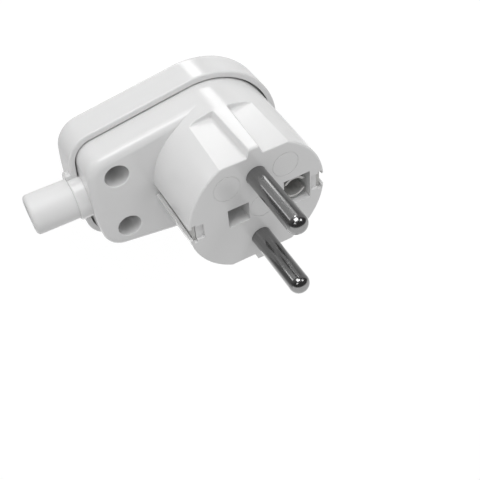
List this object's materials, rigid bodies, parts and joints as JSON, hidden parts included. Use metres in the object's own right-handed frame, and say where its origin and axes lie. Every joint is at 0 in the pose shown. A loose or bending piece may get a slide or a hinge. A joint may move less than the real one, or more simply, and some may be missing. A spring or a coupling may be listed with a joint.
{
  "type": "angled mains plug",
  "caption": "Rewirable angled mains plug with round contact pins, side earth contacts, an earth socket and a sideways cord entry.",
  "frame": {"origin": "on the nose's axis, at the flat back face of the cover", "axes": "+Z along the contact pins, away from the cover; +X towards the cord entry; +Y from the line pin to the neutral pin"},
  "size_m": [0.0653, 0.0392, 0.0536],
  "materials": {
    "white_plastic": "satin moulded thermoplastic",
    "white_rubber": "satin soft plastic",
    "clamp_plastic": "plain moulded",
    "nickel_pin": "dark nickel plating",
    "nickel_strip": "nickel plating",
    "screw_steel": "zinc plated"
  },
  "bodies": {
    "root": {"base_housing": "white_plastic", "housing_cover": "white_plastic", "cord_sleeve": "white_rubber", "line_pin": "nickel_pin", "neutral_pin": "nickel_pin", "line_terminal_screw": "screw_steel", "neutral_terminal_screw": "screw_steel", "earth_bracket": "nickel_strip", "earth_socket": "nickel_strip", "earth_rivet": "screw_steel", "earth_washer": "screw_steel", "earth_terminal_screw": "screw_steel", "cord_clamp_bar": "clamp_plastic", "cord_clamp_screw_1": "screw_steel", "cord_clamp_screw_2": "screw_steel", "cover_screw_1": "screw_steel", "cover_screw_2": "screw_steel", "cover_nut_1": "screw_steel", "cover_nut_2": "screw_steel"}
  },
  "joints": []
}
